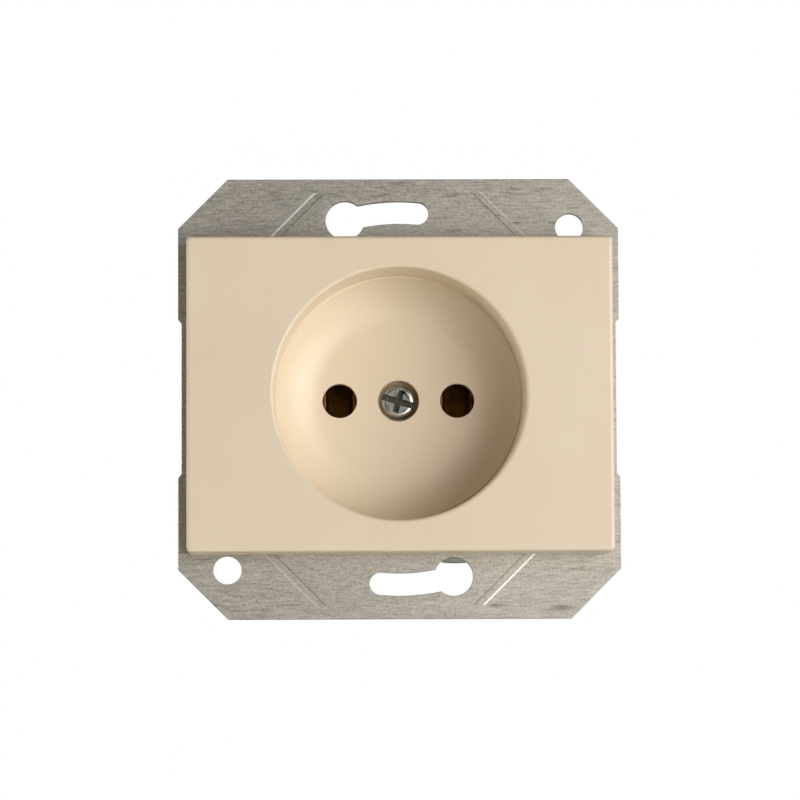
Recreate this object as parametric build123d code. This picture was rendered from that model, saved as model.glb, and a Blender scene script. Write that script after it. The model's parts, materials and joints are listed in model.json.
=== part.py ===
from build123d import *
from math import asin, cos, pi, radians, sin, sqrt, tan
import os

# A single two-pin wall outlet without its outer frame. Millimetres, +Z up, the face towards -Y.
# The origin is the centre of the 60 mm fixing circle, on the wall plane behind the steel plate.

# Mounting plate: pressed galvanised sheet with a raised octagon
plate_side = 71.0
plate_thickness = 1.0
plate_chamfer = 8.0
emboss_height = 0.5
emboss_half = 33.3          # half the octagon's flat-to-flat size, at mid slope
emboss_corner_margin = 2.6  # how far its corner sides, as |x| + |z|, clear the base's side length
emboss_slope = 1.05
notch_depth = 0.53
notch_length = 25.6
notch_slant = 0.65
corner_hole_offset = 27.6
corner_hole_dia = 4.5
fixing_circle_dia = 60.0
slot_width = 3.6
slot_end_x = 3.05
keyhole_x = -8.6
keyhole_dia = 6.2

# Face cover: one moulding with a stepped round recess
cover_width = 67.9
cover_height = 50.3
cover_front = 10.0          # height of the front face above the wall plane
cover_wall = 2.0
cover_corner = 0.8
cover_edge = 0.6
recess_dia = 40.3
recess_rim = 0.55
recess_taper = 0.35
step_depth = 9.0
step_ledge = 0.25
recess_depth = 13.5
bowl_radius = 7.7
cup_wall = 2.1
pin_spacing = 19.0
pin_hole_dia = 5.6

# Centre screw and its nut
screw_well_dia = 6.6
screw_sunk = 1.1
centre_head_dia = 5.5
centre_head_height = 2.0
centre_shank_dia = 3.0
centre_screw_tip = 18.0
well_floor = 1.8
well_wall = 1.5
nut_side = 7.0
nut_thickness = 3.0
drive_slot_width = 1.05
head_dome = 0.4             # edge radius of a head, as a share of its height
drive_cross = 3.7
drive_cross_width = 1.0
drive_depth = 1.1
drive_turn = 17.0           # degrees clockwise from level, seen from the front

# Base moulding
base_side = 43.4
base_corner = 3.2
base_back = 24.0
contact_cover_thickness = 1.5
contact_cover_gap = 1.6     # between the insulating board and the pocket round it
base_screw_dia = 2.5
base_screw_head_dia = 5.0
base_screw_head_height = 0.9
base_screw_end = 12.0

# Contacts
leaf_gap = 3.8
leaf_thickness = 0.8
leaf_height = 8.0
leaf_front = 8.2
contact_back = 20.0
spring_thickness = 0.5
spring_front = 11.0
spring_width = 4.0
spring_split = 1.2

# Terminals, below the contacts, open to the back and the bottom
block_width = 9.0
block_front = 12.0
block_back = 21.0
block_top = -9.5
block_wall = 1.5
wire_space = 6.0
block_floor = 2.0
clamp_thickness = 1.0
clamp_travel = 4.0
terminal_shank_dia = 3.4
terminal_head_dia = 5.6
terminal_head_height = 2.2

# Claws that grip the wall box
claw_screw_out = 6.5        # from the side of the base to the claw screw's axis
claw_screw_dia = 3.0
claw_head_dia = 5.5
claw_head_height = 2.0
claw_screw_tip = 27.0
claw_thickness = 1.5
claw_width = 12.0
claw_foot_front = 19.5
claw_foot_reach = 7.8       # from the side of the base to the foot's outer end
claw_prong_inner = 2.2
claw_prong_length = 10.0
claw_tooth = 2.7
claw_angle = 21.0
claw_travel = 6.0
claw_nut_side = 5.5
claw_nut_thickness = 2.4

# Clearances
gap = 0.3                   # between pieces that move apart
seat = 0.1                  # flat faces of pieces that turn on each other
thread_gap = 0.2

emboss_diagonal = base_side + emboss_corner_margin
base_screw_offset = base_side / 2 - base_corner
claw_screw_x = base_side / 2 + claw_screw_out
claw_foot_outer = base_side / 2 + claw_foot_reach
panel_front = -plate_thickness - emboss_height
panel_back = -emboss_height
front_y = -cover_front
floor_y = front_y + recess_depth
step_y = front_y + step_depth
bowl_centre_y = floor_y - bowl_radius
bowl_outer_radius = bowl_radius + cup_wall
step_sine = (step_y - bowl_centre_y) / bowl_radius
step_radius = recess_dia / 2 - recess_taper - step_ledge
bowl_centre_r = step_radius - bowl_radius * sqrt(1 - step_sine**2)
cup_outer_radius = bowl_centre_r + bowl_outer_radius
plate_hole_radius = cup_outer_radius + gap
contact_cover_front = floor_y + cup_wall + gap
base_front = contact_cover_front + contact_cover_thickness
well_y = floor_y + screw_sunk + centre_head_height + seat
boss_back = well_y + well_floor
nut_front = boss_back + 1.0
pin_xs = {"left": -pin_spacing / 2, "right": pin_spacing / 2}
sides = {"left": -1, "right": 1}


def cylinder_y(x, z, radius, y_from, y_to):
    """A cylinder whose axis runs along Y."""
    disc = Plane(origin=(x, y_from, z), z_dir=(0, 1, 0)) * Circle(radius)
    return extrude(disc, amount=y_to - y_from)


def block(x_range, y_range, z_range):
    """A box between two corners."""
    size = [b - a for a, b in (x_range, y_range, z_range)]
    centre = [(a + b) / 2 for a, b in (x_range, y_range, z_range)]
    return Pos(*centre) * Box(*size)


def around(centre, half):
    return (centre - half, centre + half)


def rounded_block(width, height, corner, y_from, y_to):
    """A plate with rounded corners, lying in the XZ plane."""
    base = Plane(origin=(0, y_from, 0), x_dir=(1, 0, 0), z_dir=(0, 1, 0))
    outline = base * RectangleRounded(width, height, corner)
    return extrude(outline, amount=y_to - y_from)


def prism_z(points, z_from, z_to):
    """An outline in X and Y, extruded along Z."""
    face = Plane(origin=(0, 0, z_from)) * make_face(Polyline(*points, close=True))
    return extrude(face, amount=z_to - z_from)


def octagon(half, diagonal, y):
    """An octagon in the XZ plane at y: its sides lie at |x| or |z| = half, and |x| + |z| = diagonal."""
    cut = diagonal - half
    corners = [(half, cut), (cut, half), (-cut, half), (-half, cut)]
    corners += [(-x, -z) for x, z in corners]
    return Face(Wire.make_polygon([(x, y, z) for x, z in corners], close=True))


def emboss(y_wide, y_narrow):
    """The raised octagon as a frustum, wide where it meets the sheet."""
    rise = emboss_slope / 2
    wide = octagon(emboss_half + rise, emboss_diagonal + rise * sqrt(2), y_wide)
    narrow = octagon(emboss_half - rise, emboss_diagonal - rise * sqrt(2), y_narrow)
    return loft([wide, narrow])


def drive_recess(x, z, y_top, head_dia, cross):
    """The slot, and the cross if there is one, that a driver turns."""
    reach = head_dia / 2 + 0.5
    cuts = block((-reach, reach), (y_top - 0.5, y_top + drive_depth), around(0, drive_slot_width / 2))
    if cross:
        for turn in (0, 90):
            arm = block(around(0, drive_cross / 2), (y_top - 0.5, y_top + 1.4 * drive_depth),
                        around(0, drive_cross_width / 2))
            cuts += Rot(0, turn, 0) * arm
    return Pos(x, 0, z) * Rot(0, drive_turn, 0) * cuts


def screw_y(x, z, head_dia, head_height, shank_dia, y_top, y_tip, cross=False):
    """A pan-head screw along Y, its head towards the face."""
    head = cylinder_y(x, z, head_dia / 2, y_top, y_top + head_height)
    head = fillet(head.edges().sort_by(Axis.Y)[0], head_dome * head_height)
    screw = head + cylinder_y(x, z, shank_dia / 2, y_top + head_height, y_tip)
    tip = screw.edges().filter_by(GeomType.CIRCLE).sort_by(Axis.Y)[-1]
    screw = chamfer(tip, 0.12 * shank_dia)
    return screw - drive_recess(x, z, y_top, head_dia, cross)


def mounting_plate():
    half = plate_side / 2
    plate = block((-half, half), (-plate_thickness, 0), (-half, half))
    plate = chamfer(plate.edges().filter_by(Axis.Y), plate_chamfer)
    plate += emboss(-plate_thickness, panel_front)
    plate -= emboss(0, panel_back)
    top, bottom = panel_front - 1, 1
    plate -= cylinder_y(0, 0, plate_hole_radius, top, bottom)
    radius = fixing_circle_dia / 2
    for turn in (0, 180):
        start, end = asin(keyhole_x / radius), asin(slot_end_x / radius)
        ring = cylinder_y(0, 0, radius + slot_width / 2, top, bottom)
        ring -= cylinder_y(0, 0, radius - slot_width / 2, top, bottom)
        reach = 2 * radius
        wedge = [(0, 0), (reach * sin(start), reach * cos(start)), (reach * sin(end), reach * cos(end))]
        sector = extrude(Face(Wire.make_polygon([(x, top, z) for x, z in wedge], close=True)),
                         amount=bottom - top, dir=(0, 1, 0))
        arc = ring & sector
        arc += cylinder_y(slot_end_x, radius * cos(end), slot_width / 2, top, bottom)
        arc += cylinder_y(keyhole_x, radius * cos(start), keyhole_dia / 2, top, bottom)
        plate -= Rot(0, turn, 0) * arc
    for sign in (1, -1):
        plate -= cylinder_y(sign * corner_hole_offset, sign * corner_hole_offset,
                            corner_hole_dia / 2, top, bottom)
        edge, inner = sign * (half + 1), sign * (half - notch_depth)
        long, short = notch_length / 2, notch_length / 2 - notch_slant
        outline = [(edge, long), (sign * half, long), (inner, short), (inner, -short),
                   (sign * half, -long), (edge, -long)]
        notch = Face(Wire.make_polygon([(x, top, z) for x, z in outline], close=True))
        plate -= extrude(notch, amount=bottom - top, dir=(0, 1, 0))
        plate -= cylinder_y(sign * claw_screw_x, 0, claw_screw_dia / 2 + gap, top, bottom)
        for other in (1, -1):
            plate -= cylinder_y(sign * base_screw_offset, other * base_screw_offset,
                                base_screw_dia / 2 + seat, top, bottom)
    return plate


def cup_profile(bowl_r, rim_r, top_y, ledge):
    """Half the section of the recess from the axis out: flat floor, bowl arc, then the wall."""
    bottom = bowl_centre_y + bowl_r
    if ledge:
        end = (step_radius, step_y)
        angle = (asin(step_sine) + pi / 2) / 2
    else:
        end = (bowl_centre_r + bowl_r, bowl_centre_y)
        angle = pi / 4
    middle = (bowl_centre_r + bowl_r * cos(angle), bowl_centre_y + bowl_r * sin(angle))
    lines = [Line((0, top_y), (0, bottom)), Line((0, bottom), (bowl_centre_r, bottom)),
             ThreePointArc((bowl_centre_r, bottom), middle, end)]
    if ledge:
        shelf = (step_radius + step_ledge, step_y)
        lines += [Line(end, shelf), Line(shelf, (rim_r, top_y))]
    else:
        lines += [Line(end, (rim_r, top_y))]
    lines += [Line((rim_r, top_y), (0, top_y))]
    return revolve(make_face(lines), Axis.Y)


def face_cover():
    shell = rounded_block(cover_width, cover_height, cover_corner, front_y, panel_front)
    shell = fillet(shell.edges().group_by(Axis.Y)[0], cover_edge)
    shell -= rounded_block(cover_width - 2 * cover_wall, cover_height - 2 * cover_wall, 0.5,
                           front_y + cover_wall, 1)
    shell += cup_profile(bowl_outer_radius, cup_outer_radius, front_y + cover_wall / 2, False)
    shell += cylinder_y(0, 0, screw_well_dia / 2 + well_wall, floor_y, boss_back)
    shell -= cup_profile(bowl_radius, recess_dia / 2, front_y, True)
    rim = shell.edges().filter_by(GeomType.CIRCLE).filter_by(
        lambda e: abs(e.center().Y - front_y) < 0.01 and abs(e.radius - recess_dia / 2) < 0.01)
    shell = fillet(rim, recess_rim)
    shell -= cylinder_y(0, 0, screw_well_dia / 2, floor_y - 1, well_y)
    shell -= cylinder_y(0, 0, centre_shank_dia / 2 + thread_gap, well_y - 1, boss_back + 1)
    for x in pin_xs.values():
        shell -= cylinder_y(x, 0, pin_hole_dia / 2, floor_y - 1, contact_cover_front)
    return shell


def centre_screw():
    y_top = floor_y + screw_sunk
    return screw_y(0, 0, centre_head_dia, centre_head_height, centre_shank_dia, y_top,
                   centre_screw_tip, True)


def centre_nut():
    half = nut_side / 2
    nut = block((-half, half), (nut_front, nut_front + nut_thickness), (-half, half))
    return nut - cylinder_y(0, 0, centre_shank_dia / 2 + thread_gap, nut_front - 1,
                            nut_front + nut_thickness + 1)


def claw_line(distance, offset):
    """A point in X and Y, along the claw's slide from its foot, and off its inner face."""
    angle = radians(claw_angle)
    foot_x = base_side / 2 + 3 * gap
    x = foot_x + distance * sin(angle) + offset * cos(angle)
    y = claw_foot_front - distance * cos(angle) + offset * sin(angle)
    return x, y


def base_body():
    body = rounded_block(base_side, base_side, base_corner, panel_back, base_back)
    body -= cylinder_y(0, 0, plate_hole_radius, panel_back - 1, base_front)
    chamber = leaf_gap / 2 + leaf_thickness + spring_thickness + gap
    for x in pin_xs.values():
        body -= block(around(x, chamber), (base_front - 1, contact_back + leaf_thickness),
                      (block_top, leaf_height / 2 + spring_thickness + gap))
        body -= block(around(x, block_width / 2), (block_front, base_back + 1), (-base_side, block_top))
    boss_clearance = screw_well_dia / 2 + well_wall + gap
    body -= cylinder_y(0, 0, boss_clearance, base_front - 1, nut_front)
    half = nut_side / 2
    body -= block((-half, half), (nut_front - 1, nut_front + nut_thickness), (-half, half))
    body -= cylinder_y(0, 0, centre_shank_dia / 2 + gap, nut_front, centre_screw_tip + 1)
    for sx in (1, -1):
        for sz in (1, -1):
            body -= cylinder_y(sx * base_screw_offset, sz * base_screw_offset,
                               base_screw_dia / 2 + seat, panel_back - 1, base_screw_end + 1)
    wall = base_side / 2
    low = claw_line(0.8, -gap)
    high = claw_line(claw_prong_length + 0.6, -gap)
    for side in sides.values():
        ramp = [(side * x, y) for x, y in ((wall - 1, low[1]), low, high, (wall - 1, high[1]))]
        for sz in (1, -1):
            inner, outer = sz * (claw_prong_inner + gap), sz * (claw_width / 2 - gap)
            body += prism_z(ramp, min(inner, outer), max(inner, outer))
    return body


def contact_cover():
    plate = cylinder_y(0, 0, plate_hole_radius - contact_cover_gap, contact_cover_front, base_front)
    plate -= cylinder_y(0, 0, screw_well_dia / 2 + well_wall + gap, contact_cover_front - 1,
                        base_front + 1)
    for x in pin_xs.values():
        plate -= cylinder_y(x, 0, pin_hole_dia / 2 + gap, contact_cover_front - 1, base_front + 1)
    return plate


def contact(x):
    """Two leaves either side of the pin, joined behind it, with a tab down to the terminal."""
    outer = leaf_gap / 2 + leaf_thickness
    tall = leaf_height / 2
    sleeve = block(around(x, outer), (leaf_front, contact_back + leaf_thickness), (-tall, tall))
    sleeve -= block(around(x, leaf_gap / 2), (leaf_front - 1, contact_back), (-tall - 1, tall + 1))
    mouths = sleeve.edges().filter_by(Axis.Z).group_by(Axis.Y)[0]
    inner = [e for e in mouths if abs(abs(e.center().X - x) - leaf_gap / 2) < 0.01]
    sleeve = chamfer(inner, 0.5 * leaf_thickness)
    return sleeve + block(around(x, outer), (contact_back, contact_back + leaf_thickness),
                          (block_top, -tall))


def contact_spring(x):
    """A split steel band round both leaves."""
    inner_x, inner_z = leaf_gap / 2 + leaf_thickness, leaf_height / 2
    back = spring_front + spring_width
    band = block(around(x, inner_x + spring_thickness), (spring_front, back),
                 around(0, inner_z + spring_thickness))
    band -= block(around(x, inner_x), (spring_front - 1, back + 1), around(0, inner_z))
    return band - block(around(x, spring_split / 2), (spring_front - 1, back + 1), (inner_z - 1, inner_z + 2))


def terminal_block(x):
    top, cavity_top = block_top, block_top - block_wall
    cavity_bottom = cavity_top - wire_space
    bottom = cavity_bottom - block_floor
    body = block(around(x, block_width / 2), (block_front, block_back), (bottom, top))
    body -= block(around(x, block_width / 2 - block_wall), (block_front - 1, block_back + 1),
                  (cavity_bottom, cavity_top))
    hole = Pos(x, (block_front + block_back) / 2, (bottom + cavity_bottom) / 2) * Cylinder(
        terminal_shank_dia / 2 + thread_gap, block_floor + 1)
    return body - hole


def clamp_plate(x):
    low = block_top - block_wall - wire_space + gap
    half = block_width / 2 - block_wall - gap
    plate = block(around(x, half), (block_front + gap, block_back - gap), (low, low + clamp_thickness))
    return fillet(plate.edges().filter_by(Axis.Y), 0.3)


def terminal_screw(x):
    """A screw that points up, its head below the terminal block."""
    y = (block_front + block_back) / 2
    tip = block_top - block_wall - wire_space + gap - seat
    under_head = block_top - block_wall - wire_space - block_floor - clamp_travel - gap
    shank = Pos(x, y, (tip + under_head) / 2) * Cylinder(terminal_shank_dia / 2, tip - under_head)
    head = Pos(x, y, under_head - terminal_head_height / 2) * Cylinder(
        terminal_head_dia / 2, terminal_head_height)
    lowest = head.edges().filter_by(GeomType.CIRCLE).sort_by(Axis.Z)[0]
    head = fillet(lowest, head_dome * terminal_head_height)
    low = under_head - terminal_head_height
    slot = block(around(x, terminal_head_dia), around(y, drive_slot_width / 2), (low - 1, low + drive_depth))
    return shank + head - slot


def claw(side):
    """A steel claw: a forked foot behind the nut's pull, and two slanted prongs with teeth."""
    half = claw_width / 2
    back = claw_foot_front + claw_thickness
    foot_x = claw_line(0, 0)[0]
    foot = block(sorted((side * foot_x, side * claw_foot_outer)), (claw_foot_front, back), (-half, half))
    slack = claw_screw_dia / 2 + gap
    slot_start = claw_screw_x - claw_travel * tan(radians(claw_angle)) - slack
    foot -= block(sorted((side * slot_start, side * (claw_foot_outer + 1))),
                  (claw_foot_front - 1, back + 1), (-slack, slack))
    a, b = claw_line(0, 0), claw_line(claw_prong_length, 0)
    tip = (b[0] + claw_tooth, b[1])
    neck, root = claw_line(claw_prong_length - 1.6, claw_thickness), claw_line(0, claw_thickness)
    root = (root[0] + 0.2, claw_foot_front)
    outline = [(side * x, y) for x, y in ((a[0], a[1] + 0.5), a, b, tip, neck, root,
                                          (root[0], root[1] + 0.5))]
    for low, high in ((claw_prong_inner, half), (-half, -claw_prong_inner)):
        foot += prism_z(outline, low, high)
    return foot


def claw_nut(side):
    x, half = side * claw_screw_x, claw_nut_side / 2
    front = claw_foot_front + claw_thickness + gap
    nut = block(around(x, half), (front, front + claw_nut_thickness), (-half, half))
    return nut - cylinder_y(x, 0, claw_screw_dia / 2 + thread_gap, front - 1,
                            front + claw_nut_thickness + 1)


def claw_screw(side):
    top = panel_front - seat - claw_head_height
    return screw_y(side * claw_screw_x, 0, claw_head_dia, claw_head_height, claw_screw_dia, top,
                   claw_screw_tip)


def base_screws():
    top = panel_front - base_screw_head_height
    return [screw_y(sx * base_screw_offset, sz * base_screw_offset, base_screw_head_dia,
                    base_screw_head_height, base_screw_dia, top, base_screw_end)
            for sx in (1, -1) for sz in (1, -1)]


parts = {
    "mounting_plate": mounting_plate(),
    "face_cover": face_cover(),
    "centre_screw": centre_screw(),
    "centre_nut": centre_nut(),
    "base_body": base_body(),
    "contact_cover": contact_cover(),
    "base_screws": Compound(children=base_screws()),
}
for name, x in pin_xs.items():
    parts[f"contact_{name}"] = contact(x)
    parts[f"contact_spring_{name}"] = contact_spring(x)
    parts[f"terminal_block_{name}"] = terminal_block(x)
    parts[f"clamp_plate_{name}"] = clamp_plate(x)
    parts[f"terminal_screw_{name}"] = terminal_screw(x)
for name, side in sides.items():
    parts[f"claw_{name}"] = claw(side)
    parts[f"claw_nut_{name}"] = claw_nut(side)
    parts[f"claw_screw_{name}"] = claw_screw(side)

os.makedirs("parts", exist_ok=True)
for name, shape in parts.items():
    export_step(shape, f"parts/{name}.step")
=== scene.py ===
# %% [markdown]
# # A two-pin wall outlet without its outer frame
# The part is a cream moulded cover on a square galvanised plate, with its working parts behind.
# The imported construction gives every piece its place. This file gives the pieces their finish.
# Lengths are written in millimetres and turned to metres by one factor.

# %% Load the frame
import json
from math import asin, atan2, cos, pi, radians, sin, sqrt

import bmesh
import bpy
from mathutils import Matrix, Vector


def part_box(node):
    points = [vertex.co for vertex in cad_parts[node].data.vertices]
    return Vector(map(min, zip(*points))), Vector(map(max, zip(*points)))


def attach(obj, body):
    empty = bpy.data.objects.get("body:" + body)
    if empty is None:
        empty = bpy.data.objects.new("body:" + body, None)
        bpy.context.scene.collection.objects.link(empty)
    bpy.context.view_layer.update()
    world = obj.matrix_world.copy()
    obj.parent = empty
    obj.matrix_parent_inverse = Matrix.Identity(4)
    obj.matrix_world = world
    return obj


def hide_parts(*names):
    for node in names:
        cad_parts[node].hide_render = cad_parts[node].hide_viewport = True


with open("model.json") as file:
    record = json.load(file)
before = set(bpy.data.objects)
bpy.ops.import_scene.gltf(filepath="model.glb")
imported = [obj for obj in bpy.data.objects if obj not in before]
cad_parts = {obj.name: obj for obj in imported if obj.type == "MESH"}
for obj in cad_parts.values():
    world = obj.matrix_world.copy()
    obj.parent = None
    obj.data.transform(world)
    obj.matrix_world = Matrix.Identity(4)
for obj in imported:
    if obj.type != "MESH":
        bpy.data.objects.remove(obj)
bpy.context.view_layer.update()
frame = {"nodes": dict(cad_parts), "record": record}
MM = 0.001
node_body = {node: body for body, nodes in frame["record"]["behaviour"]["bodies"].items() for node in nodes}

# %% [markdown]
# ## Node helper and colour
# A shader is a short chain of nodes, so one helper adds a node with its settings and its links.
# Colours are written as sRGB hex and turned to linear light by one function.

# %% Helpers for materials


def add(tree, kind, sockets=None, **settings):
    """Adds a node. A socket's value may be another node's output, which is then linked."""
    made = tree.nodes.new(kind)
    for name, value in settings.items():
        setattr(made, name, value)
    for name, value in (sockets or {}).items():
        if isinstance(value, bpy.types.NodeSocket):
            tree.links.new(value, made.inputs[name])
        else:
            made.inputs[name].default_value = value
    return made


def linear(hex_colour):
    """An sRGB hex colour as linear light, with full alpha."""
    parts = [int(hex_colour[i:i + 2], 16) / 255 for i in (1, 3, 5)]
    return [c / 12.92 if c <= 0.04045 else ((c + 0.055) / 1.055) ** 2.4 for c in parts] + [1.0]


def per_metre(millimetres):
    """The noise scale that gives a pattern of this size."""
    return 1 / (millimetres * MM)


def new_material(name):
    """An empty material with its shader: the tree, the shader, and the object coordinates."""
    made = bpy.data.materials.new(name)
    made.use_nodes = True
    tree = made.node_tree
    tree.nodes.clear()
    shader = add(tree, "ShaderNodeBsdfPrincipled")
    add(tree, "ShaderNodeOutputMaterial", {"Surface": shader.outputs["BSDF"]})
    place = add(tree, "ShaderNodeTexCoord").outputs["Object"]
    return made, tree, shader, place


def two_tone(tree, factor, low, high, start=0.35, end=0.65):
    """A ramp from one colour to another, between two values of a pattern."""
    ramp = add(tree, "ShaderNodeValToRGB", {"Fac": factor})
    ramp.color_ramp.elements[0].position = start
    ramp.color_ramp.elements[1].position = end
    ramp.color_ramp.elements[0].color = linear(low)
    ramp.color_ramp.elements[1].color = linear(high)
    return ramp.outputs["Color"]


# %% [markdown]
# ## Cream thermoplastic
# The cover is injection moulded in a fine-eroded mould, which leaves a satin skin with a very soft grain.
# The grain is a shallow bump at 0.35 mm, and slow drifts of tone keep the large faces from looking drawn.

# %% Cream moulded plastic


def cream_plastic():
    made, tree, shader, place = new_material("cream_moulded_thermoplastic")
    drift = add(tree, "ShaderNodeTexNoise", {"Vector": place, "Scale": per_metre(22), "Detail": 2})
    tone = two_tone(tree, drift.outputs["Fac"], "#DDCBAF", "#E0CFB5")
    grain = add(tree, "ShaderNodeTexNoise", {"Vector": place, "Scale": per_metre(0.35), "Detail": 2})
    sheen = add(tree, "ShaderNodeMapRange", {"Value": drift.outputs["Fac"], "To Min": 0.36, "To Max": 0.46})
    bump = add(tree, "ShaderNodeBump", {"Height": grain.outputs["Fac"], "Strength": 0.12,
                                        "Distance": 0.02 * MM})
    for name, output in (("Base Color", tone), ("Roughness", sheen.outputs["Result"]),
                         ("Normal", bump.outputs["Normal"])):
        tree.links.new(output, shader.inputs[name])
    shader.inputs["IOR"].default_value = 1.5
    return made


# %% [markdown]
# ## Galvanised sheet
# Hot-dip zinc freezes into crystals, then dulls. Rolling leaves faint streaks along the strip.
# One noise gives the mottle, and two that are stretched along the strip give the streaks and the stains.
# A painted highlight runs as a bright line just outside the octagon's corner sides, where the joggle of the
# raised panel would catch the light. It is full on the upper-left and lower-right sides and weaker on the
# others. A painted shade runs as a dark line just inside them.

# %% Galvanised steel
emboss_half = 33.3
emboss_diagonal = 46.0
# Offsets and widths in mm of the painted highlight and the painted shade along the corner sides.
joggle_highlight_out, joggle_highlight_width = 0.72, 0.32
joggle_shade_in, joggle_shade_width = 0.85, 0.3


def corner_line(tree, along_x, along_z, diagonal, width_mm):
    """1 on a thin line along the octagon's corner sides, and 0 away from them and past their ends."""
    slant = add(tree, "ShaderNodeMath", {0: along_x, 1: along_z}, operation="ADD").outputs[0]
    slant = add(tree, "ShaderNodeMath", {0: slant, 1: diagonal * MM}, operation="SUBTRACT").outputs[0]
    away = add(tree, "ShaderNodeMath", {0: slant}, operation="ABSOLUTE").outputs[0]
    line = add(tree, "ShaderNodeMapRange", {"Value": away, "From Max": width_mm * MM, "To Min": 1.0,
                                            "To Max": 0.0}).outputs["Result"]
    far = add(tree, "ShaderNodeMath", {0: along_x, 1: along_z}, operation="MAXIMUM").outputs[0]
    inside = add(tree, "ShaderNodeMath", {0: far, 1: emboss_half * MM}, operation="LESS_THAN").outputs[0]
    return add(tree, "ShaderNodeMath", {0: line, 1: inside}, operation="MULTIPLY").outputs[0]


def galvanised_steel():
    made, tree, shader, place = new_material("dull_galvanised_sheet_steel")
    stretched = add(tree, "ShaderNodeMapping", {"Vector": place, "Scale": (0.14, 1, 1)})
    mottle = add(tree, "ShaderNodeTexNoise", {"Vector": place, "Scale": per_metre(0.32), "Detail": 5,
                                              "Roughness": 0.7})
    streaks = add(tree, "ShaderNodeTexNoise", {"Vector": stretched.outputs["Vector"],
                                               "Scale": per_metre(0.3), "Detail": 5, "Roughness": 0.75})
    stains = add(tree, "ShaderNodeTexNoise", {"Vector": stretched.outputs["Vector"],
                                              "Scale": per_metre(0.8), "Detail": 5})
    blend = add(tree, "ShaderNodeMath", {0: mottle.outputs["Fac"], 1: streaks.outputs["Fac"]},
                operation="ADD")
    level = add(tree, "ShaderNodeMapRange", {"Value": blend.outputs[0], "From Min": 0.72, "From Max": 1.28})
    clean = two_tone(tree, level.outputs["Result"], "#8E887E", "#D0CABE", 0.0, 1.0)
    stained = two_tone(tree, stains.outputs["Fac"], "#FFFFFF", "#BDB8AE", 0.60, 0.78)
    tone = add(tree, "ShaderNodeMix", {0: 1.0}, data_type="RGBA", blend_type="MULTIPLY")
    tree.links.new(clean, tone.inputs[6])
    tree.links.new(stained, tone.inputs[7])
    across = add(tree, "ShaderNodeVectorMath", {0: place}, operation="ABSOLUTE").outputs[0]
    apart = add(tree, "ShaderNodeSeparateXYZ", {"Vector": across})
    sides = (apart.outputs["X"], apart.outputs["Z"])
    # Painted highlight: a bright line just outside the corner sides, where the joggle would catch the lamp.
    bright = corner_line(tree, *sides, emboss_diagonal + joggle_highlight_out, joggle_highlight_width)
    # Painted shade: a dark line just inside the corner sides.
    dark = corner_line(tree, *sides, emboss_diagonal - joggle_shade_in, joggle_shade_width)
    # The painted highlight is full on the upper-left and lower-right sides, and a quarter as strong on the
    # other two.
    signed = add(tree, "ShaderNodeSeparateXYZ", {"Vector": place})
    diagonal_sign = add(tree, "ShaderNodeMath", {0: signed.outputs["X"], 1: signed.outputs["Z"]},
                  operation="MULTIPLY").outputs[0]
    highlight_strength = add(tree, "ShaderNodeMapRange", {"Value": diagonal_sign, "From Min": -1e-6, "From Max": 1e-6,
                                             "To Min": 1.0, "To Max": 0.25}).outputs["Result"]
    bright = add(tree, "ShaderNodeMath", {0: bright, 1: highlight_strength}, operation="MULTIPLY").outputs[0]
    # The painted highlight mixes the tone towards near white, and the painted shade multiplies it darker.
    highlighted = add(tree, "ShaderNodeMix", {0: bright}, data_type="RGBA", blend_type="MIX")
    highlighted.inputs[7].default_value = linear("#FFFCF4")
    tree.links.new(tone.outputs[2], highlighted.inputs[6])
    shaded = add(tree, "ShaderNodeMix", {0: dark}, data_type="RGBA", blend_type="MULTIPLY")
    shaded.inputs[7].default_value = linear("#CFCAC0")
    tree.links.new(highlighted.outputs[2], shaded.inputs[6])
    rough = add(tree, "ShaderNodeMapRange", {"Value": blend.outputs[0], "From Min": 0.7, "From Max": 1.3,
                                             "To Min": 0.36, "To Max": 0.6})
    bump = add(tree, "ShaderNodeBump", {"Height": blend.outputs[0], "Strength": 0.4,
                                        "Distance": 0.02 * MM})
    for name, output in (("Base Color", shaded.outputs[2]), ("Roughness", rough.outputs["Result"]),
                         ("Normal", bump.outputs["Normal"])):
        tree.links.new(output, shader.inputs[name])
    shader.inputs["Metallic"].default_value = 1.0
    return made


# %% [markdown]
# ## Plated, rolled and spring metals
# Small metal parts are cut or rolled, then plated. They share one recipe: a metal, a cloud of tarnish,
# and fine scratches. Their colour and gloss are what tells zinc plate, brass and spring steel apart.

# %% Small metals


def small_metal(name, low, high, smooth, dull):
    made, tree, shader, place = new_material(name)
    cloud = add(tree, "ShaderNodeTexNoise", {"Vector": place, "Scale": per_metre(1.6), "Detail": 4})
    scratch_place = add(tree, "ShaderNodeMapping", {"Vector": place, "Scale": (0.08, 1, 1)})
    scratch = add(tree, "ShaderNodeTexNoise", {"Vector": scratch_place.outputs["Vector"],
                                               "Scale": per_metre(0.2), "Detail": 2})
    rough = add(tree, "ShaderNodeMapRange", {"Value": cloud.outputs["Fac"], "To Min": smooth, "To Max": dull})
    bump = add(tree, "ShaderNodeBump", {"Height": scratch.outputs["Fac"], "Strength": 0.25,
                                        "Distance": 0.02 * MM})
    for socket, output in (("Base Color", two_tone(tree, cloud.outputs["Fac"], low, high)),
                           ("Roughness", rough.outputs["Result"]), ("Normal", bump.outputs["Normal"])):
        tree.links.new(output, shader.inputs[socket])
    shader.inputs["Metallic"].default_value = 1.0
    return made


# %% [markdown]
# ## Moulded phenolic and pressed board
# The base is a dark compression-moulded resin with a mineral filler, so it is dull with pale specks.
# The board over the contacts is vulcanised fibre, which is matt and red-brown with short fibres.

# %% Insulators


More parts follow.
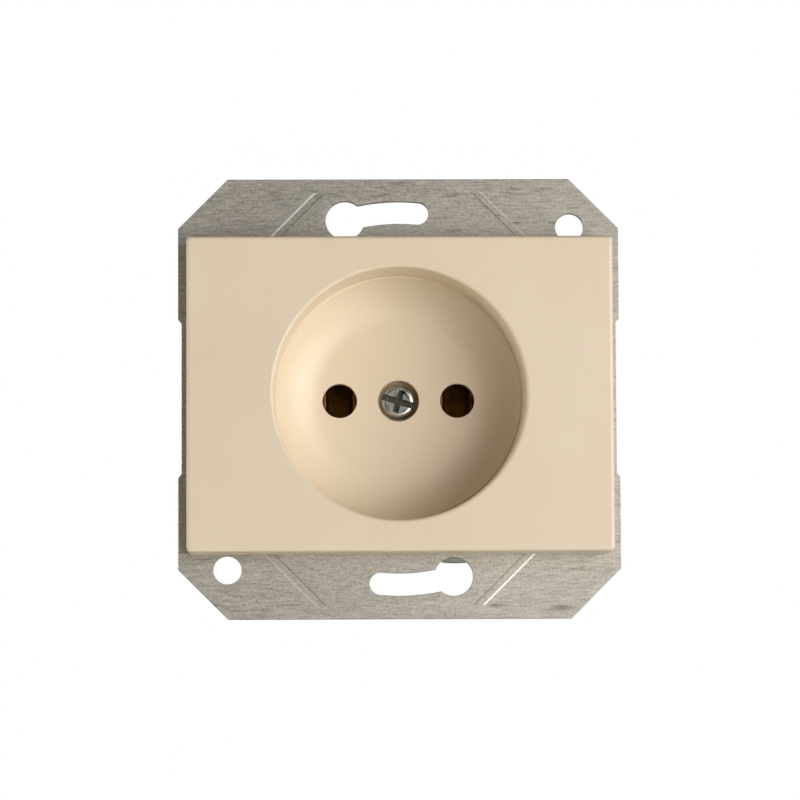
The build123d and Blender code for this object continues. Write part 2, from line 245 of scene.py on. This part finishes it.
def insulator(name, low, high, speck_mm, stretch, dull):
    made, tree, shader, place = new_material(name)
    laid = add(tree, "ShaderNodeMapping", {"Vector": place, "Scale": (stretch, 1, 1)})
    specks = add(tree, "ShaderNodeTexNoise", {"Vector": laid.outputs["Vector"],
                                              "Scale": per_metre(speck_mm), "Detail": 4})
    rough = add(tree, "ShaderNodeMapRange", {"Value": specks.outputs["Fac"], "To Min": dull - 0.1,
                                             "To Max": dull + 0.1})
    bump = add(tree, "ShaderNodeBump", {"Height": specks.outputs["Fac"], "Strength": 0.3,
                                        "Distance": 0.04 * MM})
    for socket, output in (("Base Color", two_tone(tree, specks.outputs["Fac"], low, high)),
                           ("Roughness", rough.outputs["Result"]), ("Normal", bump.outputs["Normal"])):
        tree.links.new(output, shader.inputs[socket])
    return made


# %% [markdown]
# ## One finish for each material slot
# The construction names a material slot for every piece, so one table gives each slot its finish.

# %% All materials, by slot
materials = {
    "cream_plastic": cream_plastic(),
    "galvanised_steel": galvanised_steel(),
    "zinc_plated_steel": small_metal("bright_zinc_plated_steel", "#A9A59B", "#CBC8C0", 0.28, 0.45),
    # The brass is darker than clean brass: partly tarnish, and partly painted shade for the contacts seen
    # deep in the pin holes.
    "contact_brass": small_metal("rolled_brass", "#6E4A22", "#9A6A32", 0.3, 0.5),
    "spring_steel": small_metal("oiled_spring_steel", "#5E5C5A", "#7C7976", 0.3, 0.5),
    "base_moulding": insulator("phenolic_moulding", "#3A302A", "#4D4138", 0.5, 1.0, 0.5),
    "insulating_board": insulator("vulcanised_fibre_board", "#5B3A26", "#74492E", 0.6, 0.2, 0.75),
}
slot_of = {row["node"]: row["material_slot"] for row in frame["record"]["subparts"]}
print("materials", len(materials))

# %% [markdown]
# ## The drive of the centre screw
# The centre screw has the same plate with a painted shade that deepens from the top of its head to the bottom
# of its drive, where the drive lies in shadow.

# %% Painted shade inside the drive
drive_depth = 1.1


def plated_screw_with_painted_drive_shade(head_top):
    made = small_metal("zinc_plated_steel_with_painted_drive_shade", "#B4B1A6", "#DEDBD2", 0.2, 0.34)
    tree = made.node_tree
    shader = tree.nodes["Principled BSDF"]
    plated = shader.inputs["Base Color"].links[0].from_socket
    place = next(node for node in tree.nodes if node.type == "TEX_COORD").outputs["Object"]
    depth = add(tree, "ShaderNodeSeparateXYZ", {"Vector": place}).outputs["Y"]
    # Painted shade: the plate's colour turns dark grey with depth into the drive.
    painted_drive_shade = add(tree, "ShaderNodeMapRange", {"Value": depth, "From Min": head_top + 0.45 * drive_depth * MM,
                                            "From Max": head_top + 0.9 * drive_depth * MM})
    tone = add(tree, "ShaderNodeMix", {0: painted_drive_shade.outputs["Result"], 6: plated}, data_type="RGBA")
    tone.inputs[7].default_value = linear("#6A665C")
    tree.links.new(tone.outputs[2], shader.inputs["Base Color"])
    return made


finish_of = {"centre_screw": plated_screw_with_painted_drive_shade(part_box("centre_screw")[0][1])}

# %% [markdown]
# ## Softened copies of the stamped and turned pieces
# A real edge is never a knife edge: sheet rolls over where the punch cut it, and mouldings have a radius.
# Each construction piece is copied, its triangles are merged and joined into flat faces, and its sharp
# edges get a small bevel that catches the light.

# %% Finish a construction piece


def smooth_by_angle(mesh, degrees_sharp):
    """Smooth shading, with edges past an angle kept sharp."""
    mesh.shade_smooth()
    mesh.set_sharp_from_angle(angle=radians(degrees_sharp))


def softened(node, edge_mm):
    """A bevelled copy that stands for a construction piece."""
    mesh = frame["nodes"][node].data.copy()
    shape = bmesh.new()
    shape.from_mesh(mesh)
    bmesh.ops.remove_doubles(shape, verts=shape.verts, dist=0.001 * MM)
    bmesh.ops.dissolve_limit(shape, angle_limit=radians(0.5), verts=shape.verts, edges=shape.edges)
    shape.to_mesh(mesh)
    shape.free()
    mesh.materials.clear()
    mesh.materials.append(finish_of.get(node, materials[slot_of[node]]))
    smooth_by_angle(mesh, 32)
    piece = bpy.data.objects.new(f"{node}_finished", mesh)
    bpy.context.collection.objects.link(piece)
    bevel = piece.modifiers.new("softened edge", "BEVEL")
    bevel.width = edge_mm * MM
    bevel.segments = 2
    bevel.limit_method = "ANGLE"
    bevel.angle_limit = radians(32)
    bevel.use_clamp_overlap = True
    bevel.harden_normals = False
    weights = piece.modifiers.new("even shading", "WEIGHTED_NORMAL")
    weights.keep_sharp = True
    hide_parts(node)
    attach(piece, node_body[node])
    return piece


edge_sizes = {"mounting_plate": 0.14, "base_body": 0.35, "contact_cover": 0.15, "centre_screw": 0.08}
for node in frame["nodes"]:
    if node != "face_cover":
        softened(node, edge_sizes.get(node, 0.1))
print("softened", len(frame["nodes"]) - 1)

# %% [markdown]
# ## Screw threads
# A machine screw's thread is a ridge that climbs one pitch in a turn. Geometry Nodes sweep a small
# section along a helix, so one tree with named sizes makes the thread of every screw. Each thread is
# baked to a mesh and rides with its screw.

# %% Thread tree


def thread_tree():
    """Turns, pitch, radius and ridge go in, and a closed ridge along Z comes out, turned and placed."""
    tree = bpy.data.node_groups.new("machine_screw_thread", "GeometryNodeTree")
    face = tree.interface
    for name, kind in (("Turns", "NodeSocketFloat"), ("Length", "NodeSocketFloat"),
                       ("Helix Radius", "NodeSocketFloat"), ("Ridge", "NodeSocketFloat"),
                       ("Start", "NodeSocketVector"), ("Turn", "NodeSocketVector"),
                       ("Finish", "NodeSocketMaterial")):
        face.new_socket(name=name, in_out="INPUT", socket_type=kind)
    face.new_socket(name="Thread", in_out="OUTPUT", socket_type="NodeSocketGeometry")
    sizes = tree.nodes.new("NodeGroupInput").outputs
    helix = add(tree, "GeometryNodeCurveSpiral", {"Resolution": 20, "Rotations": sizes["Turns"],
                                                  "Start Radius": sizes["Helix Radius"],
                                                  "End Radius": sizes["Helix Radius"],
                                                  "Height": sizes["Length"]})
    section = add(tree, "GeometryNodeCurvePrimitiveCircle", {"Resolution": 4, "Radius": sizes["Ridge"]})
    ridge = add(tree, "GeometryNodeCurveToMesh", {"Curve": helix.outputs[0],
                                                  "Profile Curve": section.outputs[0],
                                                  "Fill Caps": True})
    placed = add(tree, "GeometryNodeTransform", {"Geometry": ridge.outputs[0],
                                                 "Translation": sizes["Start"],
                                                 "Rotation": sizes["Turn"]})
    whole = add(tree, "GeometryNodeRealizeInstances", {"Geometry": placed.outputs[0]})
    finished = add(tree, "GeometryNodeSetMaterial", {"Geometry": whole.outputs[0],
                                                     "Material": sizes["Finish"]})
    add(tree, "NodeGroupOutput", {"Thread": finished.outputs[0]})
    return tree


# %% Thread every moving screw
thread_ridge = 0.17
thread_proud = 0.1
thread_end = 0.6
m3_radius, m3_pitch = 1.5, 0.5
terminal_radius, terminal_pitch = 1.7, 0.6
along_y, along_z = 1, 2
centre_unthreaded, claw_unthreaded, terminal_unthreaded = 4.6, 4.0, 2.4
threads = thread_tree()


def thread(node, axis, shank_radius, pitch, unthreaded):
    """A thread from under the head to just before the tip, on a screw along +Y or +Z."""
    low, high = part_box(node)
    start = [(low[i] + high[i]) / 2 for i in range(3)]
    start[axis] = low[axis] + unthreaded * MM
    length = high[axis] - thread_end * MM - start[axis]
    values = {"Turns": length / (pitch * MM), "Length": length, "Start": start,
              "Helix Radius": (shank_radius - thread_ridge + thread_proud) * MM,
              "Ridge": thread_ridge * MM, "Turn": (-pi / 2 if axis == along_y else 0.0, 0.0, 0.0),
              "Finish": materials["zinc_plated_steel"]}
    carrier = bpy.data.objects.new(f"{node}_thread", bpy.data.meshes.new("thread"))
    bpy.context.collection.objects.link(carrier)
    nodes = carrier.modifiers.new("thread", "NODES")
    nodes.node_group = threads
    for socket in threads.interface.items_tree:
        if socket.in_out == "INPUT":
            nodes[socket.identifier] = values[socket.name]
    graph = bpy.context.evaluated_depsgraph_get()
    carrier.data = bpy.data.meshes.new_from_object(carrier.evaluated_get(graph))
    carrier.modifiers.clear()
    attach(carrier, node_body[node])
    return length / (pitch * MM)


turns = [thread("centre_screw", along_y, m3_radius, m3_pitch, centre_unthreaded)]
for side in ("left", "right"):
    turns.append(thread(f"claw_screw_{side}", along_y, m3_radius, m3_pitch, claw_unthreaded))
    turns.append(thread(f"terminal_screw_{side}", along_z, terminal_radius, terminal_pitch,
                        terminal_unthreaded))
print("turns of thread", [round(count, 1) for count in turns])

# %% [markdown]
# ## The face cover
# The cover is one moulding: a rounded rectangle outside and a stepped, dished round recess inside.
# Its section turns with the angle, so it is made as rings of points. Each ring follows either a circle
# or the rectangle, every ring has as many points, and quads join one ring to the next.

# %% Outline of the cover
low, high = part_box("face_cover")
cover_half_x = high[0] / MM
cover_half_z = high[2] / MM
front_y = low[1] / MM
boss_back = high[1] / MM
side_steps = 44
corner_steps = 6


def rounded_rectangle(half_x, half_z, corner):
    """Points anticlockwise from the right side's lower end, as many for any size."""
    points = []
    centres = ((1, 1), (-1, 1), (-1, -1), (1, -1))
    for index, (sx, sz) in enumerate(centres):
        centre_x, centre_z = sx * (half_x - corner), sz * (half_z - corner)
        for step in range(corner_steps + 1):
            angle = index * pi / 2 + step / corner_steps * pi / 2
            points.append((centre_x + corner * cos(angle), centre_z + corner * sin(angle)))
        next_sx, next_sz = centres[(index + 1) % 4]
        angle = (index + 1) * pi / 2
        end = (next_sx * (half_x - corner) + corner * cos(angle),
               next_sz * (half_z - corner) + corner * sin(angle))
        start = points[-1]
        for step in range(1, side_steps):
            share = step / side_steps
            points.append((start[0] + (end[0] - start[0]) * share, start[1] + (end[1] - start[1]) * share))
    return points


cover_corner = 0.8
cover_edge = 0.6
outline = rounded_rectangle(cover_half_x, cover_half_z, cover_corner)
angles = [atan2(z, x) for x, z in outline]
print("points in a ring", len(outline))

# %% Section of the cover, from the screw hole outwards and round the back
recess_radius = 20.15
rim_fillet = 0.55
step_y = front_y + 9.0
floor_y = front_y + 13.5
bowl_radius = 7.7
cup_wall = 2.1
step_in = 0.35
ledge = 0.25
step_radius = recess_radius - step_in - ledge
step_lip = 0.08
well_radius = 3.3
well_wall = 1.5
well_y = boss_back - 1.8
shank_hole = 1.7
cover_wall = 2.0
seat_y = -1.5
bowl_centre_y = floor_y - bowl_radius
bowl_centre_r = step_radius - sqrt(bowl_radius ** 2 - (step_y - bowl_centre_y) ** 2)
step_angle = asin((step_y - bowl_centre_y) / bowl_radius)
bowl_steps = 14
fillet_steps = 6


def circle_ring(radius, y):
    return [(radius * cos(a), y, radius * sin(a)) for a in angles]


def outline_ring(inset, y):
    corner = max(cover_corner - inset, 0.05)
    return [(x, y, z) for x, z in rounded_rectangle(cover_half_x - inset, cover_half_z - inset, corner)]


def arc_steps(centre_r, centre_y, radius, start, end, steps):
    """Rings along an arc of the section."""
    turns = [start + (end - start) * i / steps for i in range(steps + 1)]
    return [circle_ring(centre_r + radius * cos(t), centre_y + radius * sin(t)) for t in turns]


soft = 0.12
rings = [circle_ring(shank_hole, well_y), circle_ring(well_radius, well_y),
         circle_ring(well_radius, floor_y + soft), circle_ring(well_radius + soft, floor_y)]
rings += arc_steps(bowl_centre_r, bowl_centre_y, bowl_radius, pi / 2, step_angle, bowl_steps)
rings += [circle_ring(step_radius + ledge - step_lip, step_y),
          circle_ring(step_radius + ledge, step_y - step_lip)]
rim_lower_y = front_y + rim_fillet
rings += arc_steps(recess_radius + rim_fillet, rim_lower_y, -rim_fillet, 0, pi / 2, fillet_steps)
for i in range(fillet_steps + 1):
    turn = i / fillet_steps * pi / 2
    rings.append(outline_ring(cover_edge * (1 - sin(turn)), front_y + cover_edge * (1 - cos(turn))))
foot = 0.15
rings += [outline_ring(0, seat_y - foot), outline_ring(foot, seat_y), outline_ring(cover_wall, seat_y),
          outline_ring(cover_wall, front_y + cover_wall)]
outer_bowl = bowl_radius + cup_wall
rings.append(circle_ring(bowl_centre_r + outer_bowl, front_y + cover_wall))
rings += arc_steps(bowl_centre_r, bowl_centre_y, outer_bowl, 0, pi / 2, bowl_steps)
boss_radius = well_radius + well_wall
rings += [circle_ring(boss_radius, floor_y + cup_wall), circle_ring(boss_radius, boss_back),
          circle_ring(shank_hole, boss_back)]
print("rings", len(rings))

# %% Join the rings into one closed skin


def skin_of(rings_of_points, name):
    """A closed tube of quads whose last ring joins the first."""
    shape = bmesh.new()
    made = [[shape.verts.new([c * MM for c in point]) for point in ring] for ring in rings_of_points]
    count = len(made[0])
    for ring, following in zip(made, made[1:] + made[:1]):
        for i in range(count):
            j = (i + 1) % count
            shape.faces.new((ring[i], ring[j], following[j], following[i]))
    bmesh.ops.recalc_face_normals(shape, faces=shape.faces)
    mesh = bpy.data.meshes.new(name)
    shape.to_mesh(mesh)
    shape.free()
    return mesh


def drill(piece, x, radius, from_y, to_y, sides):
    """Cuts one round hole along Y with a boolean, and keeps the result as the mesh."""
    tool = bmesh.new()
    turn = Matrix.Translation((x * MM, (from_y + to_y) / 2 * MM, 0)) @ Matrix.Rotation(pi / 2, 4, "X")
    bmesh.ops.create_cone(tool, cap_ends=True, segments=sides, radius1=radius * MM, radius2=radius * MM,
                          depth=(to_y - from_y) * MM, matrix=turn)
    tool_mesh = bpy.data.meshes.new("drill")
    tool.to_mesh(tool_mesh)
    tool.free()
    cutter = bpy.data.objects.new("drill", tool_mesh)
    bpy.context.collection.objects.link(cutter)
    cut = piece.modifiers.new("hole", "BOOLEAN")
    cut.object = cutter
    cut.solver = "EXACT"
    graph = bpy.context.evaluated_depsgraph_get()
    result = bpy.data.meshes.new_from_object(piece.evaluated_get(graph))
    piece.modifiers.clear()
    piece.data = result
    bpy.data.objects.remove(cutter)


cover = bpy.data.objects.new("face_cover_moulding", skin_of(rings, "face_cover_moulding"))
bpy.context.collection.objects.link(cover)
pin_spacing = 19.0
pin_hole_radius = 2.8
for side in (-1, 1):
    drill(cover, side * pin_spacing / 2, pin_hole_radius, floor_y - 2, floor_y + cup_wall + 1, 56)
cover.data.materials.clear()
cover.data.materials.append(materials["cream_plastic"])
smooth_by_angle(cover.data, 32)
weights = cover.modifiers.new("even shading", "WEIGHTED_NORMAL")
weights.keep_sharp = True
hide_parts("face_cover")
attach(cover, node_body["face_cover"])
print("cover faces", len(cover.data.polygons))

# %% [markdown]
# ## Light, floor and camera
# A pale cream moulding needs soft light with a direction, or its recess goes flat.
# A broad lamp stands low on the right, a weak one grazes the left edges, and the world is plain and pale.
# The camera stands a little below and to the left of the part, far off, with a long lens.

# %% Lights


def lamp(name, place, size, power):
    light = bpy.data.lights.new(name, "AREA")
    light.shape = "DISK"
    light.size = size
    light.energy = power
    made = bpy.data.objects.new(name, light)
    made.location = place
    made.rotation_euler = (-Vector(place)).to_track_quat("-Z", "Y").to_euler()
    bpy.context.collection.objects.link(made)


lamp("key_right", (0.66, -0.72, -0.26), 1.2, 20.0)
lamp("rim_left", (-0.95, -0.12, 0.05), 0.3, 3.5)
lamp("back_fill", (-0.4, 0.8, 0.5), 0.6, 3.0)

# %% World and floor
world = bpy.data.worlds.new("pale_studio")
bpy.context.scene.world = world
world.use_nodes = True
sky = world.node_tree
sky.nodes.clear()
path = add(sky, "ShaderNodeLightPath")
seen = add(sky, "ShaderNodeBackground", {"Color": (1, 1, 1, 1), "Strength": 1.0})
direction = add(sky, "ShaderNodeTexCoord").outputs["Generated"]
low_right = add(sky, "ShaderNodeVectorMath", {0: direction, 1: (0.45, 0, -0.89)}, operation="DOT_PRODUCT")
level = add(sky, "ShaderNodeMapRange", {"Value": low_right.outputs["Value"], "From Min": -1.0,
                                        "From Max": 1.0, "To Min": 0.03, "To Max": 0.46})
lit = add(sky, "ShaderNodeBackground", {"Color": (1, 0.985, 0.96, 1), "Strength": level.outputs["Result"]})
choice = add(sky, "ShaderNodeMixShader", {0: path.outputs["Is Camera Ray"], 1: lit.outputs[0],
                                          2: seen.outputs[0]})
add(sky, "ShaderNodeOutputWorld", {"Surface": choice.outputs[0]})

floor_mesh = bpy.data.meshes.new("studio_floor")
floor_half, floor_z = 3.0, -0.32
floor_mesh.from_pydata([(-floor_half, -floor_half, floor_z), (floor_half, -floor_half, floor_z),
                        (floor_half, floor_half, floor_z), (-floor_half, floor_half, floor_z)],
                       [], [(0, 1, 2, 3)])
floor = bpy.data.objects.new("studio_floor", floor_mesh)
bpy.context.collection.objects.link(floor)
paper, paper_tree, paper_shader, paper_place = new_material("pale_studio_paper")
fibre = add(paper_tree, "ShaderNodeTexNoise", {"Vector": paper_place, "Scale": per_metre(3)})
paper_tree.links.new(two_tone(paper_tree, fibre.outputs["Fac"], "#F0EFEC", "#F4F3F0"),
                     paper_shader.inputs["Base Color"])
paper_shader.inputs["Roughness"].default_value = 0.8
ray = add(paper_tree, "ShaderNodeLightPath").outputs["Is Camera Ray"]
share = add(paper_tree, "ShaderNodeMath", {0: ray, 1: 0.8}, operation="MULTIPLY").outputs[0]
pale = add(paper_tree, "ShaderNodeEmission", {"Color": linear("#F6F5F2"), "Strength": 1.0})
seen_paper = add(paper_tree, "ShaderNodeMixShader", {0: share, 1: paper_shader.outputs["BSDF"],
                                                     2: pale.outputs[0]})
paper_tree.links.new(seen_paper.outputs[0], paper_tree.nodes["Material Output"].inputs["Surface"])
floor_mesh.materials.append(paper)
print("floor at", floor_z, "m")

# %% Camera
distance = 0.70
below, left = 0.095 * distance, 0.021 * distance
camera_data = bpy.data.cameras.new("camera")
camera_data.lens = 196.6
print("camera", distance, "m away")
camera_data.clip_start = 0.02
camera = bpy.data.objects.new("camera", camera_data)
camera.location = (-left, -distance, -below)
target = Vector((0.00017, 0, -0.0002))
facing = (target - camera.location).to_track_quat("-Z", "Y").to_matrix().to_4x4()
roll = Matrix.Rotation(radians(-0.28), 4, "Z")
camera.matrix_world = Matrix.Translation(camera.location) @ facing @ roll
bpy.context.collection.objects.link(camera)
bpy.context.scene.camera = camera
bpy.context.scene.view_settings.view_transform = "Standard"
